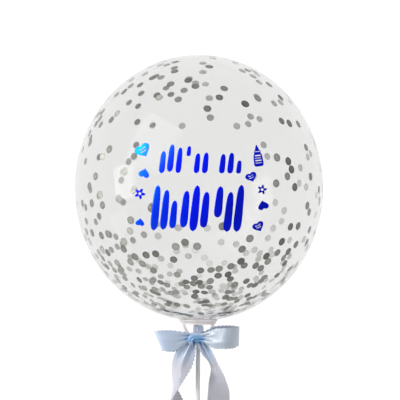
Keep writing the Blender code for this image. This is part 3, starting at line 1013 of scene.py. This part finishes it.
def make_stickers(sizes, balloon):
    """The hearts, flowers and bottle, and the two rows of slanting strokes."""
    finish = foil_finish("blue_foil", sizes)
    navy = foil_finish("navy_foil", sizes, darker=0.75)
    heart = heart_flat()
    cut = slits(HEART_STEPS, (11, 12, 17, 18), (0.24, 0.76))
    for label, place in zip(("upper_left", "upper_right", "lower_right"), CUT_HEARTS):
        sticker(f"foil_cut_heart_{label}", [placed(heart, *place)], balloon, sizes, finish, keep=cut)
    for label, place in zip(("left", "lower_left", "right"), PLAIN_HEARTS):
        sticker(f"foil_heart_{label}", [placed(heart, *place)], balloon, sizes, finish)
    for label, place in zip(("left", "right"), FLOWERS):
        flat = placed(flower_flat(), *place)
        sticker(f"foil_flower_{label}", [flat], balloon, sizes, navy, round_columns=True)
    keep = np.ones(np.array(BOTTLE_GRID) - 1, bool)
    keep[[6, 10, 11, 15, 19, 20], 2:10] = False
    keep[[27], 1:11] = False
    sticker("foil_bottle", [placed(bottle_flat(), *BOTTLE)], balloon, sizes, finish, keep=keep)
    for name, rows in (("foil_strokes_upper", UPPER_STROKES), ("foil_strokes_lower", LOWER_STROKES)):
        sticker(name, [stroke_flat(*row) for row in rows], balloon, sizes, finish)


# The cup and the stick


def fused(name, pieces, materials):
    """The closed pieces joined into one by Boolean unions."""
    base = pieces[0]
    for other in pieces[1:]:
        union = base.modifiers.new("union", "BOOLEAN")
        union.operation = "UNION"
        union.object = other
    bpy.context.view_layer.update()
    shaped = base.evaluated_get(bpy.context.evaluated_depsgraph_get())
    mesh = bpy.data.meshes.new_from_object(shaped)
    for piece in pieces:
        bpy.data.objects.remove(piece, do_unlink=True)
    mesh.materials.clear()
    mesh.name = name
    mesh.shade_smooth()
    mesh.set_sharp_from_angle(angle=math.radians(50))
    return mesh_piece(name, mesh, materials)


def closed_part(name, points):
    """A plain closed object, for fused(), from a grid whose first and last rows shrink to points."""
    faces = grid_faces(*points.shape[:2], True).reshape(-1, 4)
    mesh = grid_mesh(name, points, faces)
    join_doubles(mesh, face_out=True)
    return linked(name, mesh)


def rim_grid(balloon):
    """The rim: a rounded lip that follows the balloon's surface, on a short round wall."""
    inner = RIM_BODY_RADIUS - RIM_WALL
    lip = RIM_BODY_RADIUS + RIM_LIP
    seat = depth_at(inner, balloon) + FIT_GAP
    seat_outer = depth_at(lip, balloon) + FIT_GAP
    top = [(radius, -depth_at(radius, balloon) - FIT_GAP) for radius in np.linspace(inner, lip, 6)]
    level = -seat_outer - RIM_WALL * 0.4
    edge = quarter((lip, level), (lip + RIM_WALL * 0.25, level), (lip, level - RIM_WALL * 0.4))
    bend, level = RIM_BODY_RADIUS + 0.0009, -seat - RIM_WALL * 2.0
    under = quarter((bend, level), (bend, level + RIM_WALL * 0.7), (RIM_BODY_RADIUS, level))
    soft = 0.0005
    low = -seat - RIM_BODY_DEPTH
    outer = RIM_BODY_RADIUS
    foot = quarter((outer - soft, low + soft), (outer, low + soft), (outer - soft, low))
    foot_inner = quarter((inner + soft, low + soft), (inner + soft, low), (inner, low + soft))
    profile = np.concatenate([top, edge, under, foot, foot_inner, top[:1]])
    return laid(turned(profile, columns=72))


def arm_grid(turn, balloon):
    """One arm: a rounded flat bar along a quadratic curve, from the rim's wall in to the hub.

    Its section is a superellipse, (|cos a|^0.5, |sin a|^0.5) with their signs, across the curve.
    """
    middle = RIM_BODY_RADIUS - RIM_WALL / 2
    start = -depth_at(middle, balloon) - RIM_BODY_DEPTH * 0.5
    joint = -HUB_TOP_DEPTH - (HUB_END_DEPTH - HUB_TOP_DEPTH) * 0.45
    bend = (middle * 0.90, start * 0.35 + joint * 0.65)
    t = np.linspace(0, 1, 25)[:, None]
    run = (
        np.array([middle, start]) * (1 - t) ** 2
        + np.array(bend) * 2 * t * (1 - t)
        + np.array([HUB_RADIUS * 0.85, joint]) * t**2
    )
    along = unit(np.gradient(run, axis=0))
    out = np.stack([-along[:, 1], along[:, 0]], axis=-1)
    angles = np.arange(20) * math.tau / 20
    wide = np.sign(np.cos(angles)) * np.abs(np.cos(angles)) ** 0.5 * ARM_WIDTH / 2
    deep = np.sign(np.sin(angles)) * np.abs(np.sin(angles)) ** 0.5 * ARM_THICKNESS / 2
    ends = np.concatenate([[0.0], np.ones(len(run)), [0.0]])[:, None]
    run = np.concatenate([run[:1], run, run[-1:]])
    out = np.concatenate([out[:1], out, out[-1:]])
    radial = run[:, :1] + out[:, :1] * deep * ends
    height = run[:, 1:] + out[:, 1:] * deep * ends
    side = wide * ends + 0 * radial
    x = radial * math.cos(turn) - side * math.sin(turn)
    y = radial * math.sin(turn) + side * math.cos(turn)
    return laid(np.stack([x, y, height], axis=-1))


def hub_grid():
    """The hub: a round post with a recess for the neck on top and a socket for the stick below."""
    soft = 0.0004
    top, low = -HUB_TOP_DEPTH, -HUB_END_DEPTH
    crown = quarter((HUB_RADIUS - soft, top - soft), (HUB_RADIUS - soft, top), (HUB_RADIUS, top - soft))
    foot = quarter((HUB_RADIUS - soft, low + soft), (HUB_RADIUS, low + soft), (HUB_RADIUS - soft, low))
    ridge = [
        (HUB_RADIUS, low + 0.0030),
        (HUB_RADIUS + 0.0003, low + 0.0026),
        (HUB_RADIUS + 0.0003, low + 0.0014),
        (HUB_RADIUS, low + 0.0010),
    ]
    recess = [(0.0, -RECESS_END_DEPTH), (RECESS_RADIUS, -RECESS_END_DEPTH), (RECESS_RADIUS, top)]
    socket = [(SOCKET_RADIUS, low), (SOCKET_RADIUS, -SOCKET_DEPTH), (0.0, -SOCKET_DEPTH)]
    return laid(turned(np.concatenate([recess, crown, ridge, foot, socket]), columns=48))


def make_cup(sizes, balloon):
    """The cup: its rim, hub and arms joined into one."""
    parts = [closed_part("rim", rim_grid(balloon)), closed_part("hub", hub_grid())]
    for k in range(ARM_COUNT):
        turn = math.pi / 2 + math.tau * k / ARM_COUNT
        parts.append(closed_part(f"arm_{k}", arm_grid(turn, balloon)))
    cup = fused("cup_with_arms", parts, [cup_finish(sizes)])
    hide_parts("balloon_cup")


def make_stick(sizes):
    """The tube, turned from its wall's profile, with rounded ends."""
    outer = sizes.stick_diameter / 2
    inner = outer - sizes.stick_wall
    middle = (outer + inner) / 2
    half = sizes.stick_wall / 2
    angles = np.linspace(0, math.pi, 9)
    round_end = np.stack([np.cos(angles) * half, np.sin(angles) * half], axis=-1)
    top = round_end * (-1, 1) + (middle, -STICK_TOP_DEPTH - half)
    low = round_end * (1, -1) + (middle, -STICK_END_DEPTH + half)
    span = np.linspace(-STICK_TOP_DEPTH - half, -STICK_END_DEPTH + half, 30)[1:-1]
    outside = np.stack([0 * span + outer, span], axis=-1)
    inside = np.stack([0 * span + inner, span[::-1]], axis=-1)
    profile = np.concatenate([top, outside, low, inside, top[:1]])
    grid = laid(turned(profile, columns=48))
    stick = grid_piece("stick_tube", grid, [stick_finish(sizes)], round_columns=True, weld=True)
    mend_direction(stick, AXES[2])
    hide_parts("stick")


# The ribbon


def ribbon_grid(line, edge, facing, half, sizes, pleats, crisp, fold):
    """A ribbon's surface along a line of places, and its places on the flat ribbon in ribbon widths.

    A place is line + edge * half * s + facing * depth, with s from -1 to 1 across. The depth is the sine of
    the pleats, deep enough to take up the width that the gathers draw in, sqrt(flat^2 - width^2) / (4 pleats)
    times how crisp they are, plus a soft fold along the ribbon: from its place across the surface falls away
    to both edges as steeply as its slope. The edges have small scallops.
    """
    s = np.linspace(-1, 1, RIBBON_COLUMNS)
    run = run_of(line)
    half = np.broadcast_to(half, run.shape)[:, None]
    taken = np.sqrt(np.clip(sizes.width**2 - (2 * half) ** 2, 0, None)) / (4 * pleats)
    taken = taken * np.broadcast_to(crisp, run.shape)[:, None]
    wander = 0.5 * np.sin(run / 0.021)[:, None]
    depth = taken * np.sin(math.pi * pleats * (s + 0.07 * np.sin(2.6 * s)) + 0.6 + wander)
    place, slope = (np.broadcast_to(value, run.shape)[:, None] for value in fold)
    depth = depth + slope * half * (1 - np.sqrt((s - place) ** 2 + 0.03))
    scallop = sizes.picot * np.abs(np.sin(math.pi * run / SCALLOP_LENGTH))[:, None]
    outward = half * s + scallop * np.abs(s) ** 16 * np.sign(s)
    points = line[:, None] + edge[:, None] * outward[..., None] + facing[:, None] * depth[..., None]
    flat = np.stack([s / 2 + 0 * half, run[:, None] / sizes.width + 0 * s], axis=-1)
    return points, flat


def ribbon_piece(name, points, flat, facing, sizes):
    """A strip of ribbon as a piece: satin on the side that it faces, and its back on the other."""
    rows = facing[:-1, None]
    piece = grid_piece(name, points, satin_sides(sizes), outward=rows, uv=flat)
    thicken(piece, sizes.thickness, back_material=True)
    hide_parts("ribbon_bow")
    return piece


def loop_course(side, opening, length, droop, lean, ridge, bulge, back_rise):
    """A loop's middle line, edge direction, outer direction, how far it has opened and is folded, upright.

    Out from the knot as sin^2 of half the turn t. Forward in almost a straight line to the ridge, then round
    as a quarter of an ellipse, and back behind itself as the sine of the share of the way. The course is
    averaged over its neighbours, which rounds the crease at the ridge. Its width opens from the gathers at
    the knot, it falls by the droop over three quarters of its length, and its back half lies a little
    higher. The fold along it fades out round the far end.
    """
    turns = np.linspace(0.0, math.tau, 241)
    share = np.sin(turns / 2) ** 2
    in_front = turns < math.pi
    bend = np.where(in_front, ridge, LOOP_BACK_BEND)
    way = np.minimum(share / bend, 1.0)
    straight = np.where(in_front, LOOP_STRAIGHT, 0.0)
    rising = straight * way + (1 - straight) * np.sin(math.pi / 2 * way)
    falling = np.sqrt(1 - np.clip((share - bend) / (1 - bend), 0.0, 1.0) ** 2)
    y = np.where(in_front, -bulge, LOOP_BACK_BULGE) * rising * falling
    y = y - LOOP_LAYERS_APART * np.cos(turns / 2)
    y = np.convolve(np.pad(y, 3, mode="edge"), np.full(7, 1 / 7), mode="valid")
    first, last = opening
    opened = smooth_step((share - first) / (last - first))
    fall = droop * smooth_step(share / 0.75)
    fall = fall + back_rise * np.sin(turns / 2) * np.cos(turns / 2) * 2
    line = KNOT_CENTRE + np.stack([side * length * share, y, -fall], axis=-1)
    edge = unit(np.stack([side * lean * opened, 0 * opened, 1 + 0 * opened], axis=-1))
    facing = unit(np.cross(np.gradient(line, axis=0), edge)) * side
    folded = opened * (1 - smooth_step((share - bend + 0.1) / (1.1 - bend)))
    return line, edge, facing, opened, folded


def make_loops(sizes):
    """The bow's two loops, each a strip out from the knot, round, and back behind itself."""
    for name, side, opening, fullness, course in (
        ("bow_left_loop", -1, LEFT_LOOP_OPENING, LEFT_LOOP_FULLNESS, LEFT_LOOP),
        ("bow_right_loop", 1, RIGHT_LOOP_OPENING, RIGHT_LOOP_FULLNESS, RIGHT_LOOP),
    ):
        *route, crisp, fold_place, fold_slope = course
        line, edge, facing, opened, folded = loop_course(side, opening, *route)
        inner, outer, lift = fullness
        reached = np.abs(line[:, 0] - KNOT_CENTRE[0]) / route[0]
        far = smooth_step((reached - LOOP_FAR_END) / (1 - LOOP_FAR_END))
        full = sizes.width * (inner + (outer - inner) * far)
        half = (GATHERED_WIDTH + (full - GATHERED_WIDTH) * opened) / 2
        line = line + edge * (sizes.width / 2 * lift * far)[:, None]
        fold = (fold_place, fold_slope * folded)
        gathers = crisp * (1 - opened)
        points, flat = ribbon_grid(line, edge, facing, half, sizes, LOOP_PLEATS, gathers, fold)
        loop = ribbon_piece(name, laid(points), flat, facing @ AXES, sizes)
        # The right loop takes a greyer, darker copy of the satin: painted shade.
        if side > 0:
            grey = tuple(sizes.right_loop_painted_shade_colour)
            loop.data.materials[0] = satin_finish("woven_satin_painted_shade", sizes, SATIN_FACE, grey)


def tail_course(route, sizes, stations):
    """A tail's middle line, edge and facing directions, half width and fold, lying, from the route's rows.

    The line goes smoothly through the rows' places. Across it lies +X made square to the line, and the edge
    and facing directions turn about the line by the twist.
    """
    knot = laid(KNOT_CENTRE)
    lowest = sizes.thickness / 2 + FIT_GAP
    run, across, high, spread, twist, fold_place, fold_slope = np.array(route).T
    rows = np.stack(
        [
            sizes.width * across,
            knot[1] - run * TAIL_REACH,
            lowest + high * (knot[2] - lowest),
            sizes.width * spread,
            np.radians(twist),
            fold_place,
            fold_slope,
        ],
        axis=-1,
    )
    course = through(rows, stations)
    line = course[:, :3]
    line[:, 2] = np.maximum(line[:, 2], lowest)
    along = unit(np.gradient(line, axis=0))
    level = unit(np.array([1.0, 0.0, 0.0]) - along[:, :1] * along)
    turn = course[:, 4:5]
    edge = level * np.cos(turn) + np.cross(level, along) * np.sin(turn)
    facing = np.cross(along, edge)
    return line, along, edge, facing, course[:, 3] / 2, (course[:, 5], course[:, 6])


def make_tails(sizes):
    """The two tails, from the knot down to the floor, each with a notch cut in its end."""
    for name, route in (("bow_left_tail", LEFT_TAIL), ("bow_right_tail", RIGHT_TAIL)):
        line, along, edge, facing, half, fold = tail_course(route, sizes, stations=420)
        run = run_of(line)
        half = np.minimum(half, sizes.width / 2)
        points, flat = ribbon_grid(line, edge, facing, half, sizes, TAIL_PLEATS, TAIL_CRISP, fold)
        s = np.abs(np.linspace(-1, 1, RIBBON_COLUMNS))
        near_end = smooth_step((run - run[-1] + 2 * TAIL_NOTCH) / (2 * TAIL_NOTCH))
        points -= along[:, None] * (TAIL_NOTCH * near_end[:, None] * (1 - s))[..., None]
        points[..., 2] = np.maximum(points[..., 2], sizes.thickness / 2 + 0.0001)
        ribbon_piece(name, points, flat, facing, sizes)


def rolled_grid(line, side, out, width, depth, sizes, folds=5, columns=49):
    """A ribbon folded in on itself along its length, as a flat tube along a line of places.

    A place is line + side * w/2 * sin a + out * d * |cos a|^0.8, with the sign of cos a and a once round, and
    shallow folds along it. The two woven edges meet underneath.
    """
    a = np.linspace(-math.pi, math.pi, columns)
    run = run_of(line)[:, None]
    swell = 1 + 0.42 * np.cos(folds * a + 0.7 * np.sin(run / 0.006)) * np.cos(a / 2) ** 2
    sideways = width / 2 * np.sin(a) + 0 * run
    outwards = depth * np.sign(np.cos(a)) * np.abs(np.cos(a)) ** 0.8 * swell
    points = line[:, None] + side[:, None] * sideways[..., None] + out[:, None] * outwards[..., None]
    flat = np.stack([a / math.tau + 0 * run, run / sizes.width + 0 * a], axis=-1)
    return points, flat


def make_knot(sizes):
    """The knot's folds, the band over them, the turn round the balloon's neck and the strip between."""
    make_knot_folds(sizes)

    line = through(KNOT_BAND, count=90) + KNOT_CENTRE
    out = unit((line - KNOT_CENTRE) / KNOT_RADII**2)
    side = unit(np.cross(np.gradient(line, axis=0), out))
    rolled_piece("bow_knot_band", (line, side, out), BAND_SECTION, sizes, satin_sides(sizes))

    turns = np.linspace(*WRAP_TURNS, 120) * math.tau + math.pi / 2
    radius = WRAP_RADIUS + 0.0009 * np.linspace(0, 1, 120)
    height = WRAP_HEIGHT + 0.0006 * np.sin(turns)
    line = np.stack([radius * np.cos(turns), radius * np.sin(turns), height], axis=-1)
    out = np.stack([np.cos(turns), np.sin(turns), 0 * turns], axis=-1)
    side = np.broadcast_to([0.0, 0.0, 1.0], line.shape)
    # The turn round the neck and the strip take a lighter copy of the satin: painted light where the balloon
    # shades them.
    painted_light_satin = [satin_finish("satin_painted_light", sizes, SATIN_PAINTED_LIGHT), satin_sides(sizes)[1]]
    rolled_piece("neck_wrap", (line, side, out), WRAP_SECTION, sizes, painted_light_satin)

    line = through(NECK_STRIP, count=30)
    side = np.broadcast_to([1.0, 0.0, 0.0], line.shape)
    out = unit(np.cross(side, np.gradient(line, axis=0)))
    out *= np.sign(-out[0, 1])
    rolled_piece("neck_strip", (line, side, out), STRIP_SECTION, sizes, painted_light_satin)


def rolled_piece(name, course, section, sizes, satin):
    """A rolled ribbon as a piece, along a course of places with their side and outer directions."""
    line, side, out = course
    points, flat = rolled_grid(line, side, out, *section, sizes)
    a = np.linspace(-math.pi, math.pi, points.shape[1])[:-1]
    away = side[:-1, None] * np.sin(a)[:, None] + out[:-1, None] * np.cos(a)[:, None]
    piece = grid_piece(name, laid(points), satin, outward=away @ AXES, uv=flat)
    thicken(piece, sizes.thickness * 0.8, back_material=True, offset=-1.0)
    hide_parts("ribbon_bow")


def make_knot_folds(sizes, rows=64, columns=120):
    """The gathered satin inside the knot: an ellipsoid with creases that fan out to both sides.

    Its radius is 1 + 0.16 cos(9 a + 1.3 x) sqrt|x| sin t, with a the angle round the X axis, t the angle from
    it and x = cos t.
    """
    polar = np.linspace(0, math.pi, rows)[:, None]
    around = np.arange(columns) * math.tau / columns
    x = np.cos(polar) + 0 * around
    swell = 1 + 0.16 * np.cos(9 * around + 1.3 * x) * np.sqrt(np.abs(x)) * np.sin(polar)
    y, z = np.sin(polar) * np.cos(around) * swell, np.sin(polar) * np.sin(around) * swell
    points = KNOT_CENTRE + np.stack([x, y, z], axis=-1) * KNOT_RADII
    flat = np.stack([around / math.tau + 0 * polar, polar / math.pi + 0 * around], axis=-1)
    satin = satin_sides(sizes)[:1]
    knot = grid_piece("bow_knot", laid(points), satin, round_columns=True, uv=flat, weld=True)
    mend_direction(knot, AXES[0])
    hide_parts("ribbon_bow")


# The stage


def floor_finish():
    """White acrylic lit from below, as on a light table, with a faint tooth."""
    material, tree, shader = new_finish(
        "lit_white_acrylic",
        Roughness=0.9,
        Emission_Color=(1.0, 1.0, 1.0, 1.0),
        Emission_Strength=1.0,
    )
    where = object_coordinates(tree)
    paper = ramp(tree, noise(tree, where, scale=3.0), ((0.3, (0.065,) * 3), (0.7, (0.075,) * 3)))
    tree.links.new(paper, shader.inputs["Base Color"])
    bump(tree, shader, noise(tree, where, scale=900.0), strength=0.05, distance=0.0002)
    return material


def make_floor(width):
    """A flat square floor, just under what lies on it."""
    line = np.linspace(-width / 2, width / 2, 9)
    x, y = np.meshgrid(line, line)
    points = np.stack([x, y, 0 * x - FLOOR_DROP], axis=-1)
    mesh = grid_mesh("floor", points, grid_faces(*x.shape, False).reshape(-1, 4))
    mesh.materials.append(floor_finish())
    linked("floor", mesh)


def set_up(made, axes, place):
    """Turns an object to its right, up and back directions, at its place."""
    made.matrix_world = Matrix(np.column_stack(axes).tolist()).to_4x4()
    made.location = place


def soft_light(name, place, aim, size, power):
    """A soft square light at a place, turned to what it lights."""
    data = bpy.data.lights.new(name, "AREA")
    data.shape = "RECTANGLE"
    data.size, data.size_y = size
    data.energy = power
    back = unit(np.array(place, float) - aim)
    right = unit(np.cross([0.0, 0.0, 1.0], back))
    set_up(linked(name, data), (right, np.cross(back, right), back), place)


def white_room(sizes):
    """An even white world, brighter above and a little at the right."""
    world = bpy.data.worlds.new("white_room")
    world.use_nodes = True
    tree = world.node_tree
    background = tree.nodes["Background"]
    background.inputs["Color"].default_value = (1.0, 1.0, 1.0, 1.0)
    direction = tree.nodes.new("ShaderNodeTexCoord")
    bright_side = add_node(tree, "ShaderNodeVectorMath", {1: (0.35, 0.10, 0.93)}, operation="DOT_PRODUCT")
    tree.links.new(direction.outputs["Generated"], bright_side.inputs[0])
    limits = {"From Min": -1.0, "To Min": sizes.sky * 0.6, "To Max": sizes.sky * 1.4}
    strength = add_node(tree, "ShaderNodeMapRange", limits)
    tree.links.new(bright_side.outputs["Value"], strength.inputs["Value"])
    tree.links.new(strength.outputs["Result"], background.inputs["Strength"])
    return world


def make_stage(sizes):
    """A white floor, an even white room, a window at the left, a soft light above, and the camera."""
    make_floor(sizes.floor)
    bpy.context.scene.world = white_room(sizes)
    bpy.context.scene.view_settings.view_transform = "Standard"
    powers = {"window": sizes.window_power, "low_window": sizes.window_power / 8, "key": sizes.key_power}
    for name, (place, size) in LIGHTS.items():
        soft_light(name, place, laid(LIT_POINT), size, powers[name])

    lens = bpy.data.cameras.new("camera")
    lens.sensor_width = SENSOR_WIDTH * 1000
    lens.lens = -CAMERA_PLACE[1] * SENSOR_WIDTH / VIEW_WIDTH * 1000
    camera = linked("camera", lens)
    level, back, upright = AXES
    right = level * math.cos(CAMERA_ROLL) + upright * math.sin(CAMERA_ROLL)
    up = upright * math.cos(CAMERA_ROLL) - level * math.sin(CAMERA_ROLL)
    set_up(camera, (right, up, -back), laid(CAMERA_PLACE))
    bpy.context.scene.camera = camera


# The operators and the panel


class BALLOON_OT_film(bpy.types.Operator):
    """Make the clear film with its gathered neck"""

    bl_idname = "balloon.film"
    bl_label = "Film"

    def execute(self, context):
        make_film(context.scene.balloon_sizes)
        return {"FINISHED"}


class BALLOON_OT_confetti(bpy.types.Operator):
    """Scatter the silver discs inside the film"""

    bl_idname = "balloon.confetti"
    bl_label = "Confetti"

    def execute(self, context):
        make_confetti(context.scene.confetti_sizes, context.scene.balloon_sizes)
        return {"FINISHED"}


class BALLOON_OT_stickers(bpy.types.Operator):
    """Put the foil stickers on the film's front"""

    bl_idname = "balloon.stickers"
    bl_label = "Stickers"

    def execute(self, context):
        make_stickers(context.scene.sticker_sizes, context.scene.balloon_sizes)
        return {"FINISHED"}


class BALLOON_OT_cup(bpy.types.Operator):
    """Make the cup with its rim, arms and hub"""

    bl_idname = "balloon.cup"
    bl_label = "Cup"

    def execute(self, context):
        make_cup(context.scene.holder_sizes, context.scene.balloon_sizes)
        return {"FINISHED"}


class BALLOON_OT_stick(bpy.types.Operator):
    """Make the stick"""

    bl_idname = "balloon.stick"
    bl_label = "Stick"

    def execute(self, context):
        make_stick(context.scene.holder_sizes)
        return {"FINISHED"}


class BALLOON_OT_knot(bpy.types.Operator):
    """Make the knot, its band and the turn round the neck"""

    bl_idname = "balloon.knot"
    bl_label = "Knot"

    def execute(self, context):
        make_knot(context.scene.ribbon_sizes)
        return {"FINISHED"}


class BALLOON_OT_loops(bpy.types.Operator):
    """Make the bow's two loops"""

    bl_idname = "balloon.loops"
    bl_label = "Loops"

    def execute(self, context):
        make_loops(context.scene.ribbon_sizes)
        return {"FINISHED"}


class BALLOON_OT_tails(bpy.types.Operator):
    """Make the bow's two tails"""

    bl_idname = "balloon.tails"
    bl_label = "Tails"

    def execute(self, context):
        make_tails(context.scene.ribbon_sizes)
        return {"FINISHED"}


class BALLOON_OT_stage(bpy.types.Operator):
    """Set the floor, the lights and the camera"""

    bl_idname = "balloon.stage"
    bl_label = "Stage"

    def execute(self, context):
        make_stage(context.scene.stage_sizes)
        return {"FINISHED"}


OPERATORS = (
    BALLOON_OT_stage,
    BALLOON_OT_film,
    BALLOON_OT_confetti,
    BALLOON_OT_stickers,
    BALLOON_OT_cup,
    BALLOON_OT_stick,
    BALLOON_OT_knot,
    BALLOON_OT_loops,
    BALLOON_OT_tails,
)
GROUPS = {
    "balloon_sizes": BalloonSizes,
    "confetti_sizes": ConfettiSizes,
    "sticker_sizes": StickerSizes,
    "holder_sizes": HolderSizes,
    "ribbon_sizes": RibbonSizes,
    "stage_sizes": StageSizes,
}


class BALLOON_PT_panel(bpy.types.Panel):
    """The balloon's sizes and its makers, in the sidebar"""

    bl_idname = "BALLOON_PT_panel"
    bl_label = "Confetti Balloon"
    bl_space_type = "VIEW_3D"
    bl_region_type = "UI"
    bl_category = "Balloon"

    def draw(self, context):
        for group in GROUPS:
            sizes = getattr(context.scene, group)
            box = self.layout.box()
            box.label(text=group.replace("_", " "))
            for name in type(sizes).__annotations__:
                box.prop(sizes, name)
        for operator in OPERATORS:
            self.layout.operator(operator.bl_idname)


def register():
    for made in (*GROUPS.values(), *OPERATORS, BALLOON_PT_panel):
        bpy.utils.register_class(made)
    for name, group in GROUPS.items():
        setattr(bpy.types.Scene, name, PointerProperty(type=group))


def unregister():
    for name in GROUPS:
        delattr(bpy.types.Scene, name)
    for made in (BALLOON_PT_panel, *reversed(OPERATORS), *reversed(GROUPS.values())):
        bpy.utils.unregister_class(made)


def main():
    """Makes every piece in order."""
    register()
    for operator in OPERATORS:
        group, name = operator.bl_idname.split(".")
        getattr(getattr(bpy.ops, group), name)()


if __name__ == "__main__":
    main()
